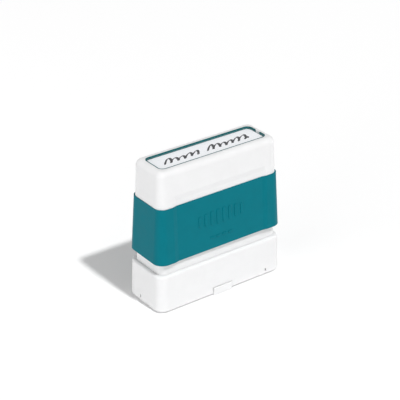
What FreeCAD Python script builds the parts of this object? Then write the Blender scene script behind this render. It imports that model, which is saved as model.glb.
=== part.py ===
import FreeCAD, Part
import math
import os
import Sketcher

# A pre-inked hand stamp: a clip-on cap, a sprung white skirt, a teal collar that carries the
# ink block, and a white handle shell with a name label under a clear window.
# Lengths are in millimetres. +Z is up, X runs along the stamp, the front is at -Y, and the
# origin is on the table under the middle of the cap.

SIZES = {
    # imprint: it sets the outline of the whole stamp
    "die_length": 38.0,
    "die_width": 14.0,
    "end_room": 11.5,          # die to the outside of the skirt, at an end and at a side
    "side_room": 4.4,
    # skirt: the sliding white box that stands on the paper
    "base_corner": 4.2,
    "skirt_height": 15.3,      # lower edge to shoulder
    "skirt_draft": 0.6,        # lean of each side over that height
    "skirt_wall": 1.4,
    "shoulder_plate": 1.4,
    "shoulder_round": 0.9,
    "neck_inset": 1.45,        # shoulder outline to the foot of the neck
    "neck_height": 16.0,
    "neck_draft": 0.75,
    "neck_corner": 2.8,
    "neck_wall": 1.2,
    # motion
    "press_travel": 4.1,
    "running_gap": 1.0,        # room left in front of a moving piece at its stop
    # collar: the teal grip band with its deck
    "collar_inset": 0.25,       # skirt's outline to the collar's
    "collar_corner": 4.4,
    "collar_height": 23.4,
    "collar_draft": 1.35,
    "collar_wall": 1.4,
    "deck_thickness": 1.6,
    "panel_end": 9.5,          # collar's end to the shallow panel in each long side
    "panel_depth": 0.45,
    "panel_ramp": 2.0,
    "ramp_round": 2.0,
    "plug_height": 6.0,        # ring that the handle pushes onto
    "plug_wall": 1.2,
    "plug_fit": 0.05,
    "boss_diameter": 6.4,      # upper spring seat below the deck
    "boss_gap": 0.3,
    "post_diameter": 3.0,      # spring guide below the boss
    "refill_length": 9.0,
    "refill_width": 5.0,
    "refill_spacing": 20.0,
    "motif_height": 6.4,       # raised bars on the front panel
    "motif_relief": 0.2,
    "motif_drop": 10.3,        # collar's top edge to the middle of the bars
    "bar_width": 1.3,
    "bar_pitch": 2.9,
    "dash_height": 0.9,
    "dash_length": 2.0,
    "dash_drop": 18.6,
    # handle shell
    "handle_height": 15.3,
    "handle_ledge": 0.25,      # collar edge that shows round the handle
    "handle_draft": 0.6,
    "handle_corner": 3.6,
    "handle_wall": 1.5,
    "handle_plate": 2.5,
    "top_round": 2.5,
    "runout_height": 2.4,      # the panel carries on above the collar and fades out
    "runout_ramp": 3.5,
    # label recess in the top
    "window_flat_end": 0.05,   # flat top left between the round edge and the window
    "window_flat_side": 0.4,
    "window_corner": 2.4,
    "seat_fit": 0.05,
    "seat_rim": 0.35,
    "seat_flange": 1.2,
    "seat_flange_gap": 0.25,
    "label_depth": 1.0,        # top edge to the paper
    "label_thickness": 0.2,
    "clear_thickness": 0.6,
    "clear_gap": 0.05,         # paper to the clear window
    "label_gap": 0.1,
    "notch_width": 2.8,        # finger-nail notch in the right end of the rim
    # ink block
    "die_corner": 0.8,
    "die_proud": 0.5,
    "die_flange": 0.8,
    "die_flange_width": 0.8,
    "tray_wall": 0.7,
    "tray_margin": 0.2,        # die outline to the inside of the tray
    "tray_roof": 1.4,
    "pad_gap": 0.1,
    "frame_fit": 0.1,
    "frame_wall": 0.8,
    "frame_lip": 0.7,
    "frame_drop": 3.8,         # tray's top to the frame's
    "stop_gap": 0.1,
    "stem_inset_end": 1.0,     # die outline to the stem
    "stem_inset_side": 1.8,
    "stem_wall": 1.4,
    "stem_gap": 0.6,
    "hook_width": 5.0,
    "hook_barb": 0.7,
    "hook_gap": 0.2,
    # return springs
    "spring_length": 19.7,
    "spring_diameter": 5.0,
    "wire_diameter": 0.55,
    "spring_turns": 9.0,
    "stub_height": 2.6,
    # cap
    "cap_lip": 1.0,            # thickness of the plate that the skirt stands on
    "cap_floor": 0.6,
    "cap_inset": 0.9,
    "cap_fit": 0.25,
    "rim_height": 3.6,
    "rim_wall": 0.7,
    "tab_width": 9.0,
    "tab_height": 3.4,
    "tab_proud": 0.35,
    "tab_gap": 0.12,
    "latch_width": 0.8,
    "latch_height": 1.2,
    "latch_rise": 1.5,         # skirt's lower edge to the middle of a latch window
    "latch_from_end": 8.5,     # skirt's end to a latch in a long side
    "latch_off_middle": 2.3,   # middle of an end to its latch
    "pip_proud": 0.12,
    "pip_share": 0.8,          # size of a pip over the size of its window
}


class Size:
    """A length worked out from the sheet: its value now, and the formula that stays bound to it."""

    def __init__(self, value, formula):
        self.value = value
        self.formula = formula

    def __add__(self, other):
        other = as_size(other)
        return Size(self.value + other.value, f"({self.formula} + {other.formula})")

    def __sub__(self, other):
        other = as_size(other)
        return Size(self.value - other.value, f"({self.formula} - {other.formula})")

    def __mul__(self, other):
        other = as_size(other)
        return Size(self.value * other.value, f"({self.formula} * {other.formula})")

    def __truediv__(self, other):
        other = as_size(other)
        return Size(self.value / other.value, f"({self.formula} / {other.formula})")

    def __neg__(self):
        return self * -1.0

    __radd__ = __add__
    __rmul__ = __mul__


def as_size(number):
    """Take a plain number as a size."""
    return number if isinstance(number, Size) else Size(float(number), repr(float(number)))


class Sizes:
    """The driving sizes by name."""


doc = FreeCAD.newDocument("hand_stamp")
sheet = doc.addObject("Spreadsheet::Sheet", "Sheet")
size = Sizes()
for row, (alias, number) in enumerate(SIZES.items(), start=1):
    sheet.set(f"A{row}", alias)
    sheet.set(f"B{row}", str(number))
    sheet.setAlias(f"B{row}", alias)
    setattr(size, alias, Size(number, f"Sheet.{alias}"))
doc.recompute()

ZERO = as_size(0)
pieces = []


def bind(target, prop, length):
    """Tie a property of an object to the sheet."""
    target.setExpression(prop, as_size(length).formula)


def new_piece(name):
    """Start a moulded piece as an empty body."""
    body = doc.addObject("PartDesign::Body", name)
    body.Label = name
    pieces.append(body)
    return body


def plane_of(body, role):
    """Find one of the body's own origin planes or axes."""
    return next(feature for feature in body.Origin.OriginFeatures if feature.Role == role)


def new_sketch(body, name, z=ZERO, x=ZERO, y=ZERO, role="XY_Plane", tilt=None):
    """Lay a sketch on an origin plane, moved by x and y within the plane and z along its normal."""
    sketch = body.newObject("Sketcher::SketchObject", name)
    sketch.AttachmentSupport = [(plane_of(body, role), "")]
    sketch.MapMode = "FlatFace"
    if tilt is not None:
        turned = FreeCAD.Rotation(FreeCAD.Vector(1, 0, 0), tilt.value)
        sketch.AttachmentOffset = FreeCAD.Placement(FreeCAD.Vector(), turned)
        bind(sketch, "AttachmentOffset.Rotation.Angle", tilt)
    for axis, length in zip("xyz", (x, y, z)):
        bind(sketch, f"AttachmentOffset.Base.{axis}", length)
    return sketch


def constrain(sketch, kind, *where):
    """Add a geometric constraint."""
    sketch.addConstraint(Sketcher.Constraint(kind, *where))


def dimension(sketch, kind, where, length):
    """Add a dimension and tie it to the sheet."""
    length = as_size(length)
    index = sketch.addConstraint(Sketcher.Constraint(kind, *where, length.value))
    bind(sketch, f"Constraints[{index}]", length)


def draw_rectangle(sketch, length, width):
    """Draw a rectangle centred on the sketch's origin."""
    length, width = as_size(length), as_size(width)
    x, y = length.value / 2, width.value / 2
    corners = [FreeCAD.Vector(*xy) for xy in ((-x, -y), (x, -y), (x, y), (-x, y))]
    sides = [
        sketch.addGeometry(Part.LineSegment(corners[i], corners[(i + 1) % 4]), False)
        for i in range(4)
    ]
    for i in range(4):
        constrain(sketch, "Coincident", sides[i], 2, sides[(i + 1) % 4], 1)
        constrain(sketch, "Vertical" if i % 2 else "Horizontal", sides[i])
    constrain(sketch, "Symmetric", sides[0], 1, sides[1], 2, -1, 1)
    dimension(sketch, "DistanceX", (sides[0], 1, sides[0], 2), length)
    dimension(sketch, "DistanceY", (sides[1], 1, sides[1], 2), width)


def draw_rounded_rectangle(sketch, length, width, radius):
    """Draw a rectangle with round corners, centred on the sketch's origin."""
    x, y, r = length.value / 2, width.value / 2, radius.value
    straight_ends = (
        ((-x + r, -y), (x - r, -y)),
        ((x, -y + r), (x, y - r)),
        ((x - r, y), (-x + r, y)),
        ((-x, y - r), (-x, -y + r)),
    )
    centres = ((x - r, -y + r), (x - r, y - r), (-x + r, y - r), (-x + r, -y + r))
    sides, corners = [], []
    for quarter in range(4):
        start, end = (FreeCAD.Vector(*point) for point in straight_ends[quarter])
        sides.append(sketch.addGeometry(Part.LineSegment(start, end), False))
        circle = Part.Circle(FreeCAD.Vector(*centres[quarter]), FreeCAD.Vector(0, 0, 1), r)
        turn = (quarter - 1) * math.pi / 2
        corners.append(sketch.addGeometry(Part.ArcOfCircle(circle, turn, turn + math.pi / 2), False))
    for quarter in range(4):
        constrain(sketch, "Tangent", sides[quarter], 2, corners[quarter], 1)
        constrain(sketch, "Tangent", corners[quarter], 2, sides[(quarter + 1) % 4], 1)
        constrain(sketch, "Vertical" if quarter % 2 else "Horizontal", sides[quarter])
    for quarter in range(1, 4):
        constrain(sketch, "Equal", corners[0], corners[quarter])
    constrain(sketch, "Symmetric", sides[0], 1, sides[2], 1, -1, 1)
    dimension(sketch, "Radius", (corners[0],), radius)
    dimension(sketch, "DistanceX", (sides[3], 1, sides[1], 1), length)
    dimension(sketch, "DistanceY", (sides[0], 1, sides[2], 1), width)


def draw_circle(sketch, diameter):
    """Draw a circle centred on the sketch's origin."""
    ring = Part.Circle(FreeCAD.Vector(), FreeCAD.Vector(0, 0, 1), diameter.value / 2)
    index = sketch.addGeometry(ring, False)
    constrain(sketch, "Coincident", index, 3, -1, 1)
    dimension(sketch, "Radius", (index,), diameter / 2)


def draw_trapezoid(sketch, inner, outer, depth):
    """Draw a trapezoid: its inner side lies on the X axis, its outer side is depth below it."""
    corners = [
        FreeCAD.Vector(*xy)
        for xy in (
            (-inner.value / 2, 0),
            (-outer.value / 2, -depth.value),
            (outer.value / 2, -depth.value),
            (inner.value / 2, 0),
        )
    ]
    sides = [
        sketch.addGeometry(Part.LineSegment(corners[i], corners[(i + 1) % 4]), False)
        for i in range(4)
    ]
    for i in range(4):
        constrain(sketch, "Coincident", sides[i], 2, sides[(i + 1) % 4], 1)
    for flat in (sides[1], sides[3]):
        constrain(sketch, "Symmetric", flat, 1, flat, 2, -2)
    constrain(sketch, "PointOnObject", sides[3], 1, -1)
    dimension(sketch, "DistanceX", (sides[1], 1, sides[1], 2), outer)
    dimension(sketch, "DistanceX", (sides[3], 2, sides[3], 1), inner)
    dimension(sketch, "DistanceY", (sides[1], 1, sides[3], 2), depth)


def extrude(body, name, sketch, length, cut=False, reverse=False, both_ways=False):
    """Pad or pocket a sketch."""
    feature = body.newObject("PartDesign::Pocket" if cut else "PartDesign::Pad", name)
    feature.Profile = sketch
    feature.Reversed = reverse
    feature.Midplane = both_ways
    bind(feature, "Length", length)
    return feature


def loft(body, name, sketches, cut=False):
    """Join two outlines with straight sides, as a solid or as a hollow."""
    kind = "PartDesign::SubtractiveLoft" if cut else "PartDesign::AdditiveLoft"
    feature = body.newObject(kind, name)
    feature.Profile = sketches[0]
    feature.Sections = sketches[1:]
    feature.Ruled = True
    return feature


def drafted_box(body, name, z, height, length, width, corner, draft, cut=False):
    """Pad or pocket upwards from z a round-cornered box whose sides lean in by draft over its
    height. The corners tighten by the same amount, so each one is a true cone."""
    feature = box(body, name, z, height, length, width, corner, cut=cut)
    lean = draft / height
    feature.setExpression("TaperAngle", f"(-atan({lean.formula}))")
    return feature


def box(body, name, z, height, length, width, corner=None, x=ZERO, y=ZERO, cut=False, hollow=None):
    """Pad or pocket upwards from z a box, round-cornered if it has a corner and open inside
    if hollow gives the wall."""
    sketch = new_sketch(body, f"{body.Name}_{name}_outline", z=z, x=x, y=y)
    if corner is None:
        draw_rectangle(sketch, length, width)
    else:
        draw_rounded_rectangle(sketch, length, width, corner)
    if hollow is not None and corner is None:
        draw_rectangle(sketch, length - 2 * hollow, width - 2 * hollow)
    elif hollow is not None:
        draw_rounded_rectangle(sketch, length - 2 * hollow, width - 2 * hollow, corner - hollow)
    return extrude(body, f"{body.Name}_{name}", sketch, height, cut, reverse=cut)


def rod(body, name, z, height, diameter, x, down=False):
    """Pad a round bar at x on the middle line, upwards from z or down from it."""
    sketch = new_sketch(body, f"{body.Name}_{name}_outline", z=z, x=x)
    draw_circle(sketch, diameter)
    return extrude(body, f"{body.Name}_{name}", sketch, height, reverse=down)


def mirror(body, name, feature, role):
    """Repeat a feature on the other side of an origin plane."""
    copy = body.newObject("PartDesign::Mirrored", name)
    copy.Originals = [feature]
    copy.MirrorPlane = (plane_of(body, role), [""])
    body.Tip = copy
    return copy


def round_edges(body, name, base, wanted, radius):
    """Fillet the edges of base that wanted picks out."""
    doc.recompute()
    names = [f"Edge{i}" for i, edge in enumerate(base.Shape.Edges, start=1) if wanted(edge.BoundBox)]
    if not names:
        raise ValueError(f"{name}: no edge to round")
    fillet = body.newObject("PartDesign::Fillet", name)
    fillet.Base = (base, names)
    bind(fillet, "Radius", radius)
    return fillet


def lies_at(height):
    """Make a test for edges that lie flat at a height."""
    return lambda bounds: max(abs(bounds.ZMin - height.value), abs(bounds.ZMax - height.value)) < 1e-3


# ---- heights and outlines that more than one piece uses ----

base_length = size.die_length + 2 * size.end_room
base_width = size.die_width + 2 * size.side_room
skirt_foot = size.cap_lip
shoulder = skirt_foot + size.skirt_height
plate_under = shoulder - size.shoulder_plate
stub_top = shoulder + size.stub_height
spring_top = shoulder + size.spring_length
collar_foot = shoulder + size.press_travel + size.running_gap
collar_top = collar_foot + size.collar_height
deck_under = collar_top - size.deck_thickness
handle_top = collar_top + size.handle_height
handle_plate_under = handle_top - size.handle_plate

skirt_inner_length = base_length - 2 * size.skirt_wall
skirt_inner_width = base_width - 2 * size.skirt_wall
skirt_inner_corner = size.base_corner - size.skirt_wall
neck_length = base_length - 2 * (size.skirt_draft + size.neck_inset)
neck_width = base_width - 2 * (size.skirt_draft + size.neck_inset)
neck_inner_length = neck_length - 2 * size.neck_wall
neck_inner_width = neck_width - 2 * size.neck_wall
spring_reach = neck_inner_length / 2 - size.neck_draft - size.boss_gap - size.boss_diameter / 2

collar_length = base_length - 2 * size.collar_inset
collar_width = base_width - 2 * size.collar_inset
panel_length = collar_length - 2 * size.panel_end
handle_length = collar_length - 2 * (size.collar_draft + size.handle_ledge)
handle_width = collar_width - 2 * (size.collar_draft + size.handle_ledge)
handle_inner_length = handle_length - 2 * size.handle_wall
handle_inner_width = handle_width - 2 * size.handle_wall
handle_inner_corner = size.handle_corner - size.handle_wall
window_length = handle_length - 2 * (size.handle_draft + size.top_round + size.window_flat_end)
window_width = handle_width - 2 * (size.handle_draft + size.top_round + size.window_flat_side)

die_face = skirt_foot + size.press_travel
frame_foot = die_face + size.die_proud
flange_seat = frame_foot + size.frame_lip
tray_foot = flange_seat + size.die_flange
tray_top = plate_under - size.stop_gap
tray_inner_length = size.die_length + 2 * size.tray_margin
tray_inner_width = size.die_width + 2 * size.tray_margin
tray_length = tray_inner_length + 2 * size.tray_wall
tray_width = tray_inner_width + 2 * size.tray_wall
frame_inner_length = tray_length + 2 * size.frame_fit
frame_inner_width = tray_width + 2 * size.frame_fit
frame_length = frame_inner_length + 2 * size.frame_wall
frame_width = frame_inner_width + 2 * size.frame_wall
stem_length = size.die_length - 2 * size.stem_inset_end
stem_width = size.die_width - 2 * size.stem_inset_side
hook_reach = (stem_length - size.stem_wall) / 2

label_face = handle_top - size.label_depth
label_foot = label_face - size.label_thickness
SIDES = (("left", -1), ("right", 1))

# The latches come in opposite pairs: long sides first, then ends. Each row gives the plane
# whose normal points out of that side or against it, the place along the side, the skirt's
# and the cap rim's extent across it, and the direction.
latch_along = base_length / 2 - size.latch_from_end
rim_length = skirt_inner_length - 2 * size.cap_fit
rim_width = skirt_inner_width - 2 * size.cap_fit
LATCHES = (
    ("front_latch", "XZ_Plane", latch_along, base_width, rim_width, 1),
    ("back_latch", "XZ_Plane", -latch_along, base_width, rim_width, -1),
    ("right_latch", "YZ_Plane", -size.latch_off_middle, base_length, rim_length, 1),
    ("left_latch", "YZ_Plane", size.latch_off_middle, base_length, rim_length, -1),
)


def build_cap():
    """Shallow tray that clips into the skirt: plate, rim, two pull tabs and four latch pips."""
    cap = new_piece("cap")
    plate_length = base_length - 2 * size.cap_inset
    plate_width = base_width - 2 * size.cap_inset
    plate_corner = size.base_corner - size.cap_inset
    rim_corner = skirt_inner_corner - size.cap_fit
    plate = box(cap, "plate", ZERO, skirt_foot, plate_length, plate_width, plate_corner)
    round_edges(cap, "cap_plate_edge", plate, lies_at(ZERO), size.cap_lip / 4)
    box(cap, "rim", skirt_foot, size.rim_height, rim_length, rim_width, rim_corner, hollow=size.rim_wall)
    box(
        cap, "die_room", size.cap_floor, size.cap_lip,
        rim_length - 2 * size.rim_wall, rim_width - 2 * size.rim_wall,
        rim_corner - size.rim_wall, cut=True,
    )
    tab_root = rim_width / 2 - size.rim_wall / 2
    tab_tip = base_width / 2 + size.tab_proud
    tab = box(
        cap, "tab", ZERO, size.tab_height, size.tab_width, tab_tip - tab_root,
        y=-(tab_root + tab_tip) / 2,
    )
    tabs = mirror(cap, "cap_tabs", tab, "XZ_Plane")
    tip = tab_tip.value

    def at_tip(bounds):
        return min(abs(bounds.YMin), abs(bounds.YMax)) > tip - 1e-3 and bounds.ZLength > 1

    round_edges(cap, "cap_tab_corners", tabs, at_tip, size.tab_proud)
    for name, role, along, skirt_span, rim_span, side in LATCHES:
        sketch = new_sketch(
            cap, f"cap_{name}_outline", role=role,
            x=along, y=skirt_foot + size.latch_rise, z=side * rim_span / 2,
        )
        draw_rectangle(sketch, size.latch_width * size.pip_share, size.latch_height * size.pip_share)
        extrude(cap, f"cap_{name}", sketch, size.pip_proud, reverse=(side < 0))


def build_skirt():
    """Sliding box: lower shell, shoulder with spring seats and stem window, and neck."""
    skirt = new_piece("skirt")
    shell = drafted_box(
        skirt, "shell", skirt_foot, size.skirt_height,
        base_length, base_width, size.base_corner, size.skirt_draft,
    )
    round_edges(skirt, "skirt_shoulder", shell, lies_at(shoulder), size.shoulder_round)
    drafted_box(
        skirt, "neck", shoulder, size.neck_height,
        neck_length, neck_width, size.neck_corner, size.neck_draft,
    )
    inner_draft = size.skirt_draft * (size.skirt_height - size.shoulder_plate) / size.skirt_height
    drafted_box(
        skirt, "hollow", skirt_foot, size.skirt_height - size.shoulder_plate,
        skirt_inner_length, skirt_inner_width, skirt_inner_corner, inner_draft, cut=True,
    )
    drafted_box(
        skirt, "neck_hollow", shoulder, size.neck_height,
        neck_inner_length, neck_inner_width, size.neck_corner - size.neck_wall,
        size.neck_draft, cut=True,
    )
    box(
        skirt, "stem_window", plate_under, size.shoulder_plate,
        stem_length + 2 * size.stem_gap, stem_width + 2 * size.stem_gap, cut=True,
    )
    for side, sign in SIDES:
        rod(
            skirt, f"{side}_stub", shoulder, size.stub_height, size.post_diameter,
            x=sign * spring_reach,
        )
    gap_height = size.tab_height + size.tab_gap - skirt_foot
    sketch = new_sketch(
        skirt, "skirt_tab_gap_outline", x=ZERO, y=skirt_foot + gap_height / 2, role="XZ_Plane",
    )
    draw_rectangle(sketch, size.tab_width + 2 * size.tab_gap, gap_height)
    extrude(skirt, "skirt_tab_gap", sketch, 2 * base_width, cut=True, both_ways=True)
    for name, role, along, skirt_span, rim_span, side in LATCHES:
        sketch = new_sketch(
            skirt, f"skirt_{name}_outline", role=role,
            x=along, y=skirt_foot + size.latch_rise, z=side * skirt_span / 2,
        )
        draw_rectangle(sketch, size.latch_width, size.latch_height)
        extrude(skirt, f"skirt_{name}", sketch, 2 * size.skirt_wall, cut=True, reverse=(side < 0))


def build_collar():
    """Grip band with shallow panels, a deck with spring posts and refill holes, and the plug."""
    collar = new_piece("collar")
    drafted_box(
        collar, "band", collar_foot, size.collar_height,
        collar_length, collar_width, size.collar_corner, size.collar_draft,
    )
    overcut = size.panel_depth
    sketches = []
    for end, lean, rise in (("foot", ZERO, ZERO), ("head", size.collar_draft, size.collar_height)):
        inner_line = -(collar_width / 2 - lean - size.panel_depth)
        sketch = new_sketch(collar, f"collar_panel_{end}", z=collar_foot + rise, y=inner_line)
        ramp_run = size.panel_ramp * (size.panel_depth + overcut) / size.panel_depth
        draw_trapezoid(
            sketch, panel_length, panel_length + 2 * ramp_run, size.panel_depth + overcut,
        )
        sketches.append(sketch)
    panel = loft(collar, "collar_panel", sketches, cut=True)
    panels = mirror(collar, "collar_panels", panel, "XZ_Plane")
    reach = panel_length.value / 2
    far = reach + size.panel_ramp.value
    tall = size.collar_height.value * 0.9

    def on_ramp(bounds):
        inside = min(abs(bounds.XMin), abs(bounds.XMax)) > reach - 0.2
        return inside and max(abs(bounds.XMin), abs(bounds.XMax)) < far + 0.2 and bounds.ZLength > tall

    round_edges(collar, "collar_soft_ramps", panels, on_ramp, size.ramp_round)
    inner_height = size.collar_height - size.deck_thickness
    drafted_box(
        collar, "hollow", collar_foot, inner_height,
        collar_length - 2 * size.collar_wall, collar_width - 2 * size.collar_wall,
        size.collar_corner - size.collar_wall,
        size.collar_draft * inner_height / size.collar_height, cut=True,
    )
    box(
        collar, "plug", collar_top, size.plug_height,
        handle_inner_length - 2 * (size.plug_fit + size.handle_draft),
        handle_inner_width - 2 * (size.plug_fit + size.handle_draft),
        handle_inner_corner, hollow=size.plug_wall,
    )
    post_foot = stub_top + size.press_travel + size.running_gap
    for side, sign in SIDES:
        rod(
            collar, f"{side}_boss", deck_under, deck_under - spring_top, size.boss_diameter,
            sign * spring_reach, down=True,
        )
        rod(
            collar, f"{side}_post", deck_under, deck_under - post_foot, size.post_diameter,
            sign * spring_reach, down=True,
        )
        box(
            collar, f"{side}_refill", deck_under, size.deck_thickness,
            size.refill_length, size.refill_width, size.refill_width / 4,
            x=sign * size.refill_spacing / 2, cut=True,
        )
        box(
            collar, f"{side}_hook_slot", deck_under, size.deck_thickness,
            size.stem_wall + 2 * size.hook_gap, size.hook_width + 2 * size.hook_gap,
            x=sign * hook_reach, cut=True,
        )
    add_motif(collar)


def add_motif(collar):
    """Raised plain bars and dashes on the front panel, square to its leaning face."""
    lean = math.degrees(math.atan(size.collar_draft.value / size.collar_height.value))
    tilt = Size(-lean, f"(-atan({(size.collar_draft / size.collar_height).formula}))")
    rows = (
        ("bar", 8, size.bar_pitch, size.bar_width, size.motif_height, size.motif_drop),
        ("dash", 4, size.bar_pitch, size.dash_length, size.dash_height, size.dash_drop),
    )
    for row_name, count, pitch, width, height, drop in rows:
        level = collar_top - drop
        lean_in = size.collar_draft * (size.collar_height - drop) / size.collar_height
        face = collar_width / 2 - lean_in - size.panel_depth
        for place in range(count):
            sketch = new_sketch(
                collar, f"collar_{row_name}_{place + 1}_outline", role="XZ_Plane", tilt=tilt,
                x=(place - (count - 1) / 2) * pitch, y=level, z=face + size.motif_relief,
            )
            stretch = 0.62 + 0.38 * math.cos(math.pi * (place - (count - 1) / 2) / count)
            corner = 0.45 * (width if width.value < height.value else height)
            draw_rounded_rectangle(sketch, width, height * stretch if row_name == "bar" else height, corner)
            extrude(
                collar, f"collar_{row_name}_{place + 1}", sketch, 2 * size.motif_relief, reverse=True,
            )


def build_handle():
    """White shell that pushes onto the plug, with the window opening in its top."""
    handle = new_piece("handle_shell")
    shell = drafted_box(
        handle, "shell", collar_top, size.handle_height,
        handle_length, handle_width, size.handle_corner, size.handle_draft,
    )
    round_edges(handle, "handle_top_edge", shell, lies_at(handle_top), size.top_round)
    inner_height = size.handle_height - size.handle_plate
    drafted_box(
        handle, "hollow", collar_top, inner_height,
        handle_inner_length, handle_inner_width, handle_inner_corner,
        size.handle_draft * inner_height / size.handle_height, cut=True,
    )
    box(
        handle, "window", handle_plate_under, size.handle_plate,
        window_length, window_width, size.window_corner, cut=True,
    )
    sketches = []
    for end, out in (("inner", ZERO), ("outer", as_size(1))):
        # twice the depth of cut is twice the ramp, so the ramp's slope is kept
        height = 2 * (size.runout_height + out * size.runout_ramp * 2)
        sketch = new_sketch(
            handle, f"handle_runout_{end}", role="XZ_Plane", y=collar_top,
            z=handle_width / 2 - size.panel_depth + out * size.panel_depth * 2,
        )
        draw_rectangle(sketch, panel_length + 4 * out * size.panel_ramp, height)
        sketches.append(sketch)
    runout = loft(handle, "handle_runout", sketches, cut=True)
    mirror(handle, "handle_runouts", runout, "XZ_Plane")


def build_label_parts():
    """Teal seat in the handle's window, the paper label in it and the clear window over it."""
    seat = new_piece("label_seat")
    flange_top = handle_plate_under - size.seat_fit
    plate_lean = size.handle_draft * (size.handle_height - size.handle_plate) / size.handle_height
    flange_room = plate_lean + size.seat_flange_gap
    seat_length = window_length - 2 * size.seat_fit
    seat_width = window_width - 2 * size.seat_fit
    recess_length = seat_length - 2 * size.seat_rim
    recess_width = seat_width - 2 * size.seat_rim
    recess_corner = size.window_corner - size.seat_rim
    recess_depth = size.label_depth + size.label_thickness
    box(
        seat, "flange", flange_top - size.seat_flange, size.seat_flange,
        handle_inner_length - 2 * flange_room, handle_inner_width - 2 * flange_room,
        handle_inner_corner - flange_room,
    )
    box(
        seat, "block", flange_top - size.seat_flange, size.seat_flange + size.seat_fit + size.handle_plate,
        seat_length, seat_width, size.window_corner,
    )
    box(seat, "recess", label_foot, recess_depth, recess_length, recess_width, recess_corner, cut=True)
    box(
        seat, "notch", label_foot, recess_depth, 4 * size.seat_rim, size.notch_width,
        x=seat_length / 2, cut=True,
    )
    for name, foot, thickness in (
        ("name_label", label_foot, size.label_thickness),
        ("label_window", label_face + size.clear_gap, size.clear_thickness),
    ):
        box(
            new_piece(name), "sheet", foot, thickness,
            recess_length - 2 * size.label_gap, recess_width - 2 * size.label_gap,
            recess_corner - size.label_gap,
        )


def build_ink_block():
    """Carrier with its stem, the ink pad in it, the porous die and the frame that clamps it."""
    carrier = new_piece("die_carrier")
    box(carrier, "tray", tray_foot, tray_top - tray_foot, tray_length, tray_width, size.die_corner)
    pad_room = tray_top - tray_foot - size.tray_roof
    box(carrier, "pad_room", tray_foot, pad_room, tray_inner_length, tray_inner_width, cut=True)
    box(
        carrier, "stem", tray_top, deck_under - tray_top,
        stem_length, stem_width, hollow=size.stem_wall,
    )
    box(
        carrier, "ink_shaft", tray_top - size.tray_roof, size.tray_roof,
        stem_length - 2 * size.stem_wall, stem_width - 2 * size.stem_wall, cut=True,
    )
    barb_foot = collar_top + size.hook_gap / 2
    for side, sign in SIDES:
        box(
            carrier, f"{side}_hook", deck_under, barb_foot - deck_under + size.stem_wall,
            size.stem_wall, size.hook_width, x=sign * hook_reach,
        )
        box(
            carrier, f"{side}_barb", barb_foot, size.stem_wall,
            size.stem_wall + size.hook_barb, size.hook_width,
            x=sign * (hook_reach + size.hook_barb / 2),
        )
    pad = new_piece("ink_pad")
    box(
        pad, "felt", tray_foot, pad_room - size.pad_gap,
        tray_inner_length - 2 * size.pad_gap, tray_inner_width - 2 * size.pad_gap,
    )
    die = new_piece("stamp_die")
    box(die, "face", die_face, flange_seat - die_face, size.die_length, size.die_width, size.die_corner)
    box(
        die, "flange", flange_seat, size.die_flange,
        size.die_length + 2 * size.die_flange_width, size.die_width + 2 * size.die_flange_width,
        size.die_corner,
    )
    frame = new_piece("die_frame")
    corner = size.die_corner + size.frame_wall
    frame_height = tray_top - size.frame_drop - frame_foot
    outer = box(frame, "outer", frame_foot, frame_height, frame_length, frame_width, corner)
    round_edges(frame, "die_frame_foot_edge", outer, lies_at(frame_foot), size.frame_lip / 2)
    box(
        frame, "tray_room", flange_seat, frame_height,
        frame_inner_length, frame_inner_width, size.die_corner, cut=True,
    )
    box(
        frame, "die_window", frame_foot, size.frame_lip,
        size.die_length + 2 * size.tray_margin, size.die_width + 2 * size.tray_margin,
        size.die_corner, cut=True,
    )


def build_spring(side, sign):
    """Compression spring between the skirt's shoulder and the collar's boss."""
    spring = new_piece(f"spring_{side}")
    mean_radius = (size.spring_diameter - size.wire_diameter) / 2
    sketch = new_sketch(
        spring, f"spring_{side}_wire", role="XZ_Plane",
        x=mean_radius, y=shoulder + size.wire_diameter / 2,
    )
    draw_circle(sketch, size.wire_diameter)
    coil = spring.newObject("PartDesign::AdditiveHelix", f"spring_{side}_coil")
    coil.Profile = sketch
    coil.ReferenceAxis = (plane_of(spring, "Z_Axis"), [""])
    coil.Mode = "height-turns-angle"
    bind(coil, "Height", size.spring_length - size.wire_diameter)
    bind(coil, "Turns", size.spring_turns)
    bind(spring, "Placement.Base.x", sign * spring_reach)


def check_model():
    """Stop if any object failed or any piece is not one valid solid."""
    doc.recompute()
    for thing in doc.Objects:
        if "Invalid" in thing.State or "Error" in thing.State:
            raise RuntimeError(f"{thing.Name} failed: {thing.State}")
    for piece in pieces:
        shape = piece.Shape
        if shape.isNull() or not shape.isValid() or len(shape.Solids) != 1:
            raise RuntimeError(f"{piece.Label} is not one valid solid")


build_cap()
build_skirt()
build_collar()
build_handle()
build_label_parts()
build_ink_block()
for side_name, side_sign in SIDES:
    build_spring(side_name, side_sign)
check_model()

os.makedirs("parts", exist_ok=True)
for piece in pieces:
    piece.Shape.exportStep(f"parts/{piece.Label}.step")
    bounds = piece.Shape.BoundBox
    print(
        f"{piece.Label}: volume {piece.Shape.Volume:.1f}, "
        f"x {bounds.XMin:.2f} {bounds.XMax:.2f}, y {bounds.YMin:.2f} {bounds.YMax:.2f}, "
        f"z {bounds.ZMin:.2f} {bounds.ZMax:.2f}"
    )
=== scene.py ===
"""Pre-inked hand stamp: finishes, springs, ink felt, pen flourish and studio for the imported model."""
import math

import bpy
import numpy as np
from mathutils import Matrix, Vector


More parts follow.
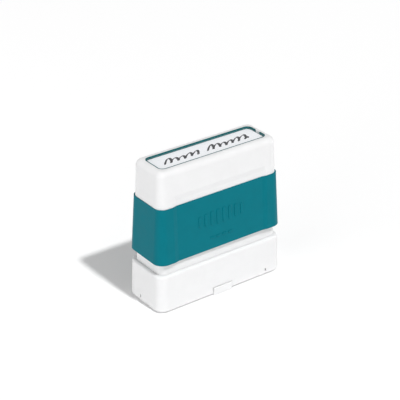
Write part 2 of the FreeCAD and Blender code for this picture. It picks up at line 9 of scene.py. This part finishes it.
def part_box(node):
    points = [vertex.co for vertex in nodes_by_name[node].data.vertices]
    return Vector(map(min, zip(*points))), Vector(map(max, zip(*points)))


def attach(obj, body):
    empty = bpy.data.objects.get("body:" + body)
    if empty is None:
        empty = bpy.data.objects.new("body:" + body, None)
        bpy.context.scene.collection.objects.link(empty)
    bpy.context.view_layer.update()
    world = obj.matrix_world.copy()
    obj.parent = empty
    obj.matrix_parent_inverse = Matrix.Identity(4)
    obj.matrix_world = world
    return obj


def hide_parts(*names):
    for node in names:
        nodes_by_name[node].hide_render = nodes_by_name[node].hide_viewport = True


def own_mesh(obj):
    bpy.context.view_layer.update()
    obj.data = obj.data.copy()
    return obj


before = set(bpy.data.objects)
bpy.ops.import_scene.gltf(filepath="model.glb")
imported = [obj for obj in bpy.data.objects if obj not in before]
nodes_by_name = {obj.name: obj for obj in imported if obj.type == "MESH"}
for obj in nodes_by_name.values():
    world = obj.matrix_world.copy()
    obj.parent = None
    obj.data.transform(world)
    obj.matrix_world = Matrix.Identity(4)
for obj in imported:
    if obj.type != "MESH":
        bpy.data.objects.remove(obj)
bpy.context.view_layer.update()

MM = 0.001
TAU = 2 * math.pi


# ---- surfaces ----

def new_piece(name, points, faces, finish, smooth=True):
    """Make a mesh object from an array of points and a list of faces, with one finish."""
    mesh = bpy.data.meshes.new(name)
    mesh.from_pydata(points.tolist(), [], faces)
    mesh.update()
    mesh.polygons.foreach_set("use_smooth", np.full(len(mesh.polygons), smooth))
    mesh.materials.append(finish)
    piece = bpy.data.objects.new(name, mesh)
    bpy.context.scene.collection.objects.link(piece)
    return piece


def tube_faces(rings, around):
    """Quads between neighbouring rings of a closed section, with one polygon over each end."""
    ring = np.arange(rings - 1)[:, None] * around
    here = np.arange(around)[None, :]
    beside = (here + 1) % around
    quads = np.stack([ring + here, ring + beside, ring + around + beside, ring + around + here], -1)
    first = list(range(around))[::-1]
    last = [(rings - 1) * around + i for i in range(around)]
    return quads.reshape(-1, 4).tolist() + [first, last]


def sweep(path, normal, side, half_thick, half_wide, around):
    """A tube of elliptic section carried along a path.

    point(t, a) = path(t) + side(t) * half_wide(t) * cos a + normal(t) * half_thick(t) * sin a
    """
    angle = np.arange(around) * TAU / around
    across = side[:, None, :] * (half_wide[:, None] * np.cos(angle))[..., None]
    up = normal[:, None, :] * (half_thick[:, None] * np.sin(angle))[..., None]
    return (path[:, None, :] + across + up).reshape(-1, 3)


def unit(vectors):
    """Scale each vector of an array to length one."""
    return vectors / np.linalg.norm(vectors, axis=-1, keepdims=True)


# ---- return springs ----

SPRING_TURNS = 9
SPRING_STEPS = 40          # path points for each turn
SPRING_AROUND = 14
SPRING_WIRE = 0.55 * MM
SPRING_CLOSED = 0.6        # turns at each end before the pitch starts to open
SPRING_END_PITCH = 1.02    # pitch of a closed turn, in wire thicknesses
SPRING_TIP = 0.003         # share of the wire's section left at a cut end


def spring_points(low, high):
    """Closed-end coil spring.

    The wire's axis is (R cos a, R sin a, z(a)), where a runs through all the turns and z climbs
    by one wire at the first and last turn and evenly between them, eased where the pitch
    changes. The radius of the wire eases to nothing over half a wire at both cut ends.
    """
    radius = SPRING_WIRE / 2
    centre = (low + high) / 2
    mean = (high.x - low.x) / 2 - radius
    steps = SPRING_TURNS * SPRING_STEPS + 1
    turn = np.linspace(0, SPRING_TURNS, steps)
    ease = 0.5 * (1 - np.cos(np.pi * np.clip(turn - SPRING_CLOSED, 0, 1)))
    ease = ease * 0.5 * (1 - np.cos(np.pi * np.clip(SPRING_TURNS - SPRING_CLOSED - turn, 0, 1)))
    climb = (high.z - low.z) - 2 * radius
    end_pitch = SPRING_WIRE * SPRING_END_PITCH
    pitch_share = climb - SPRING_TURNS * end_pitch
    rise = np.concatenate([[0], np.cumsum((ease[1:] + ease[:-1]) / 2)])
    height = low.z + radius + end_pitch * turn + pitch_share * rise / rise[-1]
    angle = turn * TAU
    outward = np.stack([np.cos(angle), np.sin(angle), np.zeros(steps)], -1)
    path = np.array([centre.x, centre.y, 0]) + mean * outward
    path[:, 2] = height
    along = unit(np.gradient(path, axis=0))
    normal = np.cross(along, outward)
    from_end = np.minimum(turn, SPRING_TURNS - turn) * TAU * mean / radius
    wire = radius * np.sqrt(np.clip(1 - np.clip(1 - from_end, 0, 1) ** 2, SPRING_TIP, 1))
    return sweep(path, unit(normal), outward, wire, wire, SPRING_AROUND), steps


def build_spring(side, finish):
    """One return spring, attached to the skirt."""
    node = f"spring_{side}"
    low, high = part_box(node)
    points, rings = spring_points(low, high)
    spring = new_piece(f"coil_{side}", points, tube_faces(rings, SPRING_AROUND), finish)
    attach(spring, "skirt")
    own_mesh(spring)
    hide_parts(node)
    return spring


# ---- ink felt ----

FELT_SIDE_POWER = 14.0     # how square the pad's outline is
FELT_TOP_POWER = 5.0       # how flat its faces are
FELT_FUZZ = 0.05 * MM      # depth of the ripple on its faces
FELT_INSET = 0.02 * MM     # kept clear of the tray
FELT_AROUND = 240
FELT_RINGS = 64


def felt_points(low, high, lengthways, upways):
    """Squared-off cushion with a faint swell.

    point(u, v) = half sizes * (cos v^(2/q) cos u^(2/p), cos v^(2/q) sin u^(2/p), sin v^(2/q)), with
    signed powers, drawn in by a soft ripple so that it stays inside its box.
    """
    centre = np.array((low + high) / 2)
    half = np.array((high - low) / 2) - FELT_INSET

    def power(values, exponent):
        return np.sign(values) * np.abs(values) ** exponent

    turn = np.linspace(0, TAU, lengthways, endpoint=False)[None, :]
    lift = np.linspace(-np.pi / 2, np.pi / 2, upways)[1:-1, None]
    ring = power(np.cos(lift), 2 / FELT_TOP_POWER)
    points = np.stack([
        ring * power(np.cos(turn), 2 / FELT_SIDE_POWER),
        ring * power(np.sin(turn), 2 / FELT_SIDE_POWER),
        power(np.sin(lift), 2 / FELT_TOP_POWER) * np.ones_like(turn),
    ], -1)
    ripple = np.sin(23 * turn + 5 * lift) * np.sin(17 * lift + 3 * turn) + np.sin(41 * turn - 9 * lift)
    shrink = 1 - (FELT_FUZZ / half[2]) * (0.5 + 0.25 * ripple)
    points = points * half * shrink[..., None]
    poles = np.array([[0, 0, -half[2]], [0, 0, half[2]]])
    return np.concatenate([points.reshape(-1, 3), poles]) + centre


def felt_faces(lengthways, upways):
    """Quads between the pad's rings and a fan of triangles at each pole."""
    rings = upways - 2
    quads = tube_faces(rings, lengthways)[:-2]
    here = np.arange(lengthways)
    beside = (here + 1) % lengthways
    south = rings * lengthways
    north = south + 1
    top = (rings - 1) * lengthways
    bottom_fan = np.stack([beside, here, np.full_like(here, south)], -1).tolist()
    top_fan = np.stack([top + here, top + beside, np.full_like(here, north)], -1).tolist()
    return quads + bottom_fan + top_fan


def build_felt(finish):
    """The soft ink reservoir above the die."""
    low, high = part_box("ink_pad")
    points = felt_points(low, high, FELT_AROUND, FELT_RINGS)
    felt = new_piece("ink_felt_pad", points, felt_faces(FELT_AROUND, FELT_RINGS), finish)
    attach(felt, "grip")
    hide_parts("ink_pad")
    return felt


# ---- pen flourish on the label, and its raised mirror copy on the die ----

NIB_ANGLE = math.radians(20)
NIB_WIDE = 1.45 * MM
NIB_THIN = 0.38 * MM
PEN_SLANT = 0.8
PEN_STEPS = 620            # path points in a stroke
PEN_AROUND = 10
PEN_TAPER = 14             # path points over which an end comes to a tip
PEN_TIP = 0.02             # share of the width left at the tip
FOOT_LINE = -1.2           # foot of the waves, in millimetres from the middle
LABEL_MIDDLE = np.array([0.0, -0.2 * MM])
DIE_MIDDLE = np.array([0.0, 0.0])
INK_LIFT = 0.012 * MM      # paper's face to the middle of the ink line
INK_HALF = 0.018 * MM      # half the ink line's thickness
RELIEF_SINK = 0.02 * MM    # die's face to the middle of its relief
RELIEF_HALF = 0.04 * MM    # half the relief's thickness
STROKES = (
    # start x, end x, waves, first height, last height, loop; lengths in millimetres
    (-20.7, -4.3, 5.0, 3.3, 2.3, 0.6),
    (-0.6, 19.9, 6.5, 3.3, 2.7, 0.55),
)


def stroke_path(start, end, waves, first, last, loop):
    """One pen stroke: a slanted row of waves that starts tall, settles, and ends in a sweep.

    The height falls from first to last as a decaying curve with a slow swell on it. x runs
    evenly from start to end, swung back by loop * sin(2 pi waves t), so that the waves lean over
    themselves; y is half the height there times -cos(2 pi waves t) over a common foot line; x
    then leans by y times the slant. The phase wanders a little, so no two waves are alike, and
    both ends fade into a flat sweep.
    """
    t = np.linspace(0, 1, PEN_STEPS)
    phase = TAU * (waves * t + 0.09 * np.sin(5.3 * t * waves) * t)
    fade = np.clip(np.minimum(t, 1 - t) * 12, 0, 1)
    fade = fade * fade * (3 - 2 * fade)
    tall = last + (first - last) * np.exp(-4.5 * t) + 0.45 * np.sin(TAU * 1.3 * t + 1.2)
    y = FOOT_LINE + 0.5 * tall * (1 - np.cos(phase)) * fade
    x = start + (end - start) * t - loop * np.sin(phase) * fade + PEN_SLANT * (y - FOOT_LINE)
    return np.stack([x, y], -1) * MM


def build_flourish(name, plane, middle, half_thick, finish, body, mirror=1):
    """The flourish as ribbons of flat elliptic section.

    A broad nib held at a fixed angle makes the width: the hairline plus the rest of the nib times
    the share of it that lies across the direction of travel. mirror is -1 for a mirror image.
    """
    points, faces, count = [], [], 0
    for stroke in STROKES:
        flat = stroke_path(*stroke) * np.array([mirror, 1])
        path = np.concatenate([flat + middle, np.full((PEN_STEPS, 1), plane)], -1)
        along = unit(np.gradient(path, axis=0))
        normal = np.tile([0.0, 0.0, 1.0], (PEN_STEPS, 1))
        side = np.cross(normal, along)
        nib = np.array([mirror * math.cos(NIB_ANGLE), math.sin(NIB_ANGLE), 0])
        wide = NIB_THIN + (NIB_WIDE - NIB_THIN) * np.abs(side @ nib) ** 1.3
        from_end = np.minimum(np.arange(PEN_STEPS), np.arange(PEN_STEPS)[::-1])
        taper = np.clip(from_end / PEN_TAPER, PEN_TIP, 1) ** 0.5
        ribbon = sweep(path, normal, side, half_thick * taper, wide * taper / 2, PEN_AROUND)
        points.append(ribbon)
        faces += [[index + count for index in face] for face in tube_faces(PEN_STEPS, PEN_AROUND)]
        count += len(ribbon)
    flourish = new_piece(name, np.concatenate(points), faces, finish)
    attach(flourish, body)
    return flourish


# ---- finishes ----

class Finish:
    """A material being put together from nodes."""

    def __init__(self, name, color, roughness, specular=0.5):
        self.material = bpy.data.materials.new(name)
        self.material.use_nodes = True
        self.tree = self.material.node_tree
        self.shader = self.tree.nodes["Principled BSDF"]
        self.shader.inputs["Base Color"].default_value = (*color, 1)
        self.shader.inputs["Roughness"].default_value = roughness
        self.shader.inputs["Specular IOR Level"].default_value = specular
        self.place = self.add("ShaderNodeTexCoord").outputs["Object"]
        self.height = None

    def add(self, kind, **settings):
        """Add a node and set its properties."""
        node = self.tree.nodes.new(kind)
        for key, value in settings.items():
            setattr(node, key, value)
        return node

    def link(self, source, target):
        """Feed a socket, or set it if the source is a number."""
        if isinstance(source, bpy.types.NodeSocket):
            self.tree.links.new(source, target)
        else:
            target.default_value = source

    def math(self, operation, a, b):
        """One sum on two sockets or numbers."""
        node = self.add("ShaderNodeMath", operation=operation)
        self.link(a, node.inputs[0])
        self.link(b, node.inputs[1])
        return node.outputs[0]

    def stretched(self, scale, turn=(0, 0, 0)):
        """Object coordinates scaled and turned, for a pattern with a direction."""
        mapping = self.add("ShaderNodeMapping")
        self.link(self.place, mapping.inputs["Vector"])
        mapping.inputs["Scale"].default_value = scale
        mapping.inputs["Rotation"].default_value = turn
        return mapping.outputs[0]

    def noise(self, size, detail=3.0, rough=0.5, vector=None, distortion=0.0):
        """Noise whose grains are about size metres across."""
        node = self.add("ShaderNodeTexNoise")
        self.link(vector or self.place, node.inputs["Vector"])
        node.inputs["Scale"].default_value = 1 / size
        node.inputs["Detail"].default_value = detail
        node.inputs["Roughness"].default_value = rough
        node.inputs["Distortion"].default_value = distortion
        return node.outputs["Fac"]

    def cells(self, size):
        """Distance to the nearest of cells about size metres across."""
        node = self.add("ShaderNodeTexVoronoi", feature="F1")
        self.link(self.place, node.inputs["Vector"])
        node.inputs["Scale"].default_value = 1 / size
        return node.outputs["Distance"]

    def ramp(self, value, low, high, start=0.0, end=1.0):
        """Map a value between low and high to start and end, eased."""
        node = self.add("ShaderNodeMapRange", interpolation_type="SMOOTHSTEP")
        self.link(value, node.inputs["Value"])
        for socket, number in (("From Min", low), ("From Max", high), ("To Min", start), ("To Max", end)):
            node.inputs[socket].default_value = number
        return node.outputs["Result"]

    def tint(self, value, dark, light):
        """Base colour between two colours."""
        node = self.add("ShaderNodeMix", data_type="RGBA")
        self.link(value, node.inputs[0])
        node.inputs[6].default_value = (*dark, 1)
        node.inputs[7].default_value = (*light, 1)
        self.link(node.outputs[2], self.shader.inputs["Base Color"])

    def rough(self, value, low, high):
        """Roughness between two values."""
        self.link(self.ramp(value, 0.3, 0.7, low, high), self.shader.inputs["Roughness"])

    def bump(self, value, depth):
        """Add relief of a depth in metres for a value that runs from 0 to 1."""
        scaled = self.math("MULTIPLY", value, depth)
        self.height = scaled if self.height is None else self.math("ADD", self.height, scaled)

    def finished(self, edge=0.0):
        """Feed the added-up relief to the shader, over edges softened by a small radius."""
        relief = self.add("ShaderNodeBump")
        relief.inputs["Distance"].default_value = 1.0
        relief.inputs["Strength"].default_value = 1.0
        self.link(self.height, relief.inputs["Height"])
        if edge:
            soft = self.add("ShaderNodeBevel", samples=6)
            soft.inputs["Radius"].default_value = edge
            self.link(soft.outputs[0], relief.inputs["Normal"])
        self.link(relief.outputs[0], self.shader.inputs["Normal"])
        return self.material


def shade(color, factor):
    """A colour made darker or lighter."""
    return tuple(min(1.0, channel * factor) for channel in color)


def moulded(name, color, roughness, grain, specular=0.5, edge=0.12 * MM, mottle=0.012, depth=0.0):
    """Moulded plastic: fine spark-eroded grain, slight sink waves, a faint mottle of the pigment,
    uneven gloss, and a few hairline scuffs from handling."""
    finish = Finish(name, color, roughness, specular)
    fine = finish.noise(0.16 * MM, detail=3, rough=0.6)
    pits = finish.ramp(finish.cells(0.22 * MM), 0.1, 0.75)
    waves = finish.noise(9 * MM, detail=1.5)
    cloud = finish.noise(5 * MM, detail=4, rough=0.55)
    haze = finish.noise(1.6 * MM, detail=5, rough=0.6)
    finish.bump(fine, grain)
    finish.bump(pits, grain * 0.5)
    finish.bump(waves, 3 * grain)
    blotch = finish.math("ADD", finish.math("MULTIPLY", cloud, 0.7), finish.math("MULTIPLY", haze, 0.3))
    finish.tint(finish.ramp(blotch, 0.3, 0.7), shade(color, 1 - mottle), shade(color, 1 + mottle))
    finish.rough(blotch, roughness - 0.05, roughness + 0.07)
    long_way = finish.stretched((90, 2600, 2600), (0.1, 0.3, 0.5))
    cross_way = finish.stretched((2400, 120, 2400), (0.4, -0.2, 0.9))
    for way in (long_way, cross_way):
        lines = finish.add("ShaderNodeTexNoise")
        finish.link(way, lines.inputs["Vector"])
        lines.inputs["Scale"].default_value = 1.0
        lines.inputs["Detail"].default_value = 1.0
        scuff = finish.ramp(lines.outputs["Fac"], 0.74, 0.8)
        finish.bump(scuff, -0.6 * grain)
    if depth:
        finish.shader.inputs["Subsurface Weight"].default_value = 1.0
        finish.shader.inputs["Subsurface Radius"].default_value = (1.0, 1.0, 1.0)
        finish.shader.inputs["Subsurface Scale"].default_value = depth
    return finish.finished(edge)


def paper_card():
    """Smooth white card: short fibres in two directions, faint cloudiness, no gloss."""
    finish = Finish("label_card", (0.85, 0.86, 0.885), 0.85, 0.2)
    cloud = finish.noise(1.2 * MM, detail=5, rough=0.65)
    along = finish.noise(1.0, detail=3, vector=finish.stretched((1500, 9000, 9000), (0, 0, 0.35)))
    across = finish.noise(1.0, detail=3, vector=finish.stretched((9000, 1700, 9000), (0, 0, 0.2)))
    finish.tint(finish.ramp(cloud, 0.3, 0.7), (0.835, 0.845, 0.87), (0.865, 0.875, 0.90))
    finish.rough(cloud, 0.8, 0.92)
    finish.bump(along, 0.004 * MM)
    finish.bump(across, 0.004 * MM)
    return finish.finished()


def pen_ink():
    """Dried writing ink: nearly black, slightly uneven where the nib lifted."""
    finish = Finish("pen_ink", (0.02, 0.02, 0.024), 0.5, 0.3)
    pool = finish.noise(0.5 * MM, detail=4)
    finish.tint(finish.ramp(pool, 0.3, 0.7), (0.012, 0.012, 0.015), (0.035, 0.035, 0.042))
    finish.rough(pool, 0.42, 0.62)
    finish.bump(pool, 0.004 * MM)
    return finish.finished()


def clear_acrylic():
    """Clear polished acrylic: almost no body colour, high gloss, fine wipe marks."""
    finish = Finish("clear_acrylic", (0.95, 0.97, 0.98), 0.06, 0.6)
    finish.shader.inputs["Alpha"].default_value = 0.035
    finish.shader.inputs["IOR"].default_value = 1.49
    wipes = finish.noise(1.0, detail=2, vector=finish.stretched((200, 2200, 2200), (0, 0, 0.5)))
    smear = finish.noise(3 * MM, detail=3)
    finish.rough(smear, 0.05, 0.14)
    finish.tint(finish.ramp(smear, 0.3, 0.7), (0.94, 0.96, 0.97), (0.97, 0.985, 0.99))
    finish.bump(wipes, 0.0008 * MM)
    return finish.finished()


def spring_wire():
    """Drawn spring wire: bright steel with fine drawing lines and a light brown temper tint."""
    finish = Finish("spring_wire", (0.6, 0.6, 0.61), 0.3)
    finish.shader.inputs["Metallic"].default_value = 1.0
    drawn = finish.noise(1.0, detail=3, vector=finish.stretched((1200, 1200, 9000)))
    temper = finish.noise(2.5 * MM, detail=4)
    finish.tint(finish.ramp(temper, 0.3, 0.7), (0.47, 0.45, 0.42), (0.68, 0.69, 0.71))
    finish.rough(drawn, 0.22, 0.42)
    finish.bump(drawn, 0.004 * MM)
    return finish.finished()


def soaked_felt():
    """Reservoir felt soaked with dark ink: matted fibres, wet patches that shine."""
    finish = Finish("soaked_felt", (0.02, 0.028, 0.05), 0.7, 0.4)
    finish.shader.inputs["Sheen Weight"].default_value = 0.25
    finish.shader.inputs["Sheen Roughness"].default_value = 0.5
    fibres = finish.noise(0.22 * MM, detail=6, rough=0.75, distortion=1.4)
    strands = finish.noise(1.0, detail=4, vector=finish.stretched((1400, 5200, 5200), (0.3, 0.2, 0.7)))
    wet = finish.noise(3 * MM, detail=3)
    finish.tint(finish.ramp(fibres, 0.3, 0.7), (0.012, 0.016, 0.03), (0.04, 0.055, 0.09))
    finish.rough(wet, 0.4, 0.85)
    finish.bump(fibres, 0.12 * MM)
    finish.bump(strands, 0.06 * MM)
    return finish.finished()


def die_foam(name, color):
    """Microporous stamping foam: tiny open cells, damp with ink."""
    finish = Finish(name, color, 0.6, 0.35)
    pores = finish.cells(0.09 * MM)
    lumps = finish.noise(0.5 * MM, detail=5, rough=0.7)
    damp = finish.noise(4 * MM, detail=3)
    finish.tint(finish.ramp(lumps, 0.3, 0.7), shade(color, 0.7), shade(color, 1.4))
    finish.rough(damp, 0.45, 0.75)
    finish.bump(finish.ramp(pores, 0.0, 0.5), 0.02 * MM)
    finish.bump(lumps, 0.02 * MM)
    return finish.finished()


WHITE = (0.756, 0.756, 0.760)
GLOW = 1.2 * MM            # how far light creeps under the surface of the white plastic
THIN_GLOW = 0.4 * MM       # the same for the denser plastic of the handle
TEAL = (0.0, 0.149, 0.188)
SEAT_TEAL = (0.0, 0.105, 0.115)
CARRIER_WHITE = (0.74, 0.75, 0.76)
FRAME_GREY = (0.36, 0.37, 0.39)
DIE_BLACK = (0.035, 0.036, 0.045)
DIE_RELIEF = (0.02, 0.02, 0.025)
GRAIN = 0.0011 * MM        # height of the moulded grain


def make_finishes():
    """Every node's finish by node name."""
    white_cap = moulded("cap_white", WHITE, 0.5, GRAIN, specular=0.35, depth=GLOW)
    white_skirt = moulded("skirt_white", WHITE, 0.46, GRAIN, specular=0.35, depth=GLOW)
    white_handle = moulded("handle_white", WHITE, 0.46, GRAIN, specular=0.35, depth=THIN_GLOW)
    teal_collar = moulded("collar_teal", TEAL, 0.42, GRAIN, specular=0.07, mottle=0.03)
    teal_seat = moulded(
        "seat_teal", SEAT_TEAL, 0.4, GRAIN, specular=0.1, edge=0.06 * MM, mottle=0.04,
    )
    carrier = moulded("carrier_white", CARRIER_WHITE, 0.4, GRAIN)
    grey = moulded("frame_grey", FRAME_GREY, 0.45, 1.5 * GRAIN)
    return {
        "cap": white_cap,
        "skirt": white_skirt,
        "handle_shell": white_handle,
        "collar": teal_collar,
        "label_seat": teal_seat,
        "die_carrier": carrier,
        "die_frame": grey,
        "stamp_die": die_foam("die_face_foam", DIE_BLACK),
        "name_label": paper_card(),
        "label_window": clear_acrylic(),
    }


def dress(node, finish):
    """Give a carried-over node its finish."""
    mesh = nodes_by_name[node].data
    mesh.materials.clear()
    mesh.materials.append(finish)


# ---- studio ----

FLOOR_HALF = 6.0
CAMERA_PLACE = Vector((-0.28055, -0.37872, 0.28865))
CAMERA_TARGET = Vector((-0.000938, 0.002690, 0.036019))
CAMERA_LENS = 121.86
KEY_DIRECTION = Vector((0.076, -0.524, 0.848))
KEY_STRENGTH = 2.10
KEY_SPREAD = math.radians(3.2)
SKY = 0.400
PANELS = (
    # name, place in metres, size in metres, power in watts
    ("front_fill", (-0.35, -1.25, 0.40), (1.2, 0.6), 1.5),
    ("left_fill", (-0.90, -0.15, 0.22), (0.8, 0.4), 3.0),
    ("right_kick", (0.95, -0.10, 0.16), (0.5, 0.3), 0.7),
)


def build_floor():
    """Plain pale sweep: a flat sheet with a whisper of paper tooth."""
    finish = Finish("studio_floor", (0.965, 0.965, 0.965), 0.9, 0.1)
    tooth = finish.noise(0.6 * MM, detail=3)
    finish.bump(tooth, 0.003 * MM)
    corners = np.array([[-1, -1, 0], [1, -1, 0], [1, 1, 0], [-1, 1, 0]]) * FLOOR_HALF
    floor = new_piece("studio_floor", corners, [[0, 1, 2, 3]], finish.finished(), smooth=False)


def aim(thing, place, target):
    """Put a camera or lamp at a place, looking at a target."""
    turn = (target - place).to_track_quat("-Z", "Y")
    thing.matrix_world = Matrix.Translation(place) @ turn.to_matrix().to_4x4()


def add_panel(name, place, size, energy):
    """A wide soft lamp that looks at the middle of the object."""
    light = bpy.data.lights.new(name, "AREA")
    light.shape = "RECTANGLE"
    light.size, light.size_y = size
    light.energy = energy
    lamp = bpy.data.objects.new(name, light)
    bpy.context.scene.collection.objects.link(lamp)
    aim(lamp, Vector(place), Vector((0, 0, 0.03)))


def build_light():
    """Even sky, one key from above the front, a broad front fill and a low panel at each end."""
    scene = bpy.context.scene
    scene.view_settings.view_transform = "Standard"
    world = bpy.data.worlds.new("studio_sky")
    scene.world = world
    world.use_nodes = True
    sky = world.node_tree.nodes["Background"].inputs
    sky["Color"].default_value = (1, 1, 1, 1)
    sky["Strength"].default_value = SKY
    key = bpy.data.lights.new("key", "SUN")
    key.energy = KEY_STRENGTH
    key.angle = KEY_SPREAD
    lamp = bpy.data.objects.new("key", key)
    scene.collection.objects.link(lamp)
    aim(lamp, KEY_DIRECTION, Vector())
    for name, place, size, energy in PANELS:
        add_panel(name, place, size, energy)


def build_camera():
    """Long lens, level horizon, looking down on the left front corner."""
    camera = bpy.data.cameras.new("camera")
    camera.sensor_width = 36
    camera.lens = CAMERA_LENS
    camera.clip_start = 0.01
    camera.clip_end = 50
    holder = bpy.data.objects.new("camera", camera)
    bpy.context.scene.collection.objects.link(holder)
    aim(holder, CAMERA_PLACE, CAMERA_TARGET)
    bpy.context.scene.camera = holder


for node, finish in make_finishes().items():
    dress(node, finish)
steel = spring_wire()
for side in ("left", "right"):
    build_spring(side, steel)
build_felt(soaked_felt())
label_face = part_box("name_label")[1].z
die_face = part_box("stamp_die")[0].z
build_flourish(
    "label_flourish", label_face + INK_LIFT, LABEL_MIDDLE, INK_HALF,
    pen_ink(), "handle",
)
build_flourish(
    "die_flourish", die_face + RELIEF_SINK, DIE_MIDDLE, RELIEF_HALF,
    die_foam("die_relief_foam", DIE_RELIEF), "grip", mirror=-1,
)
build_floor()
build_light()
build_camera()
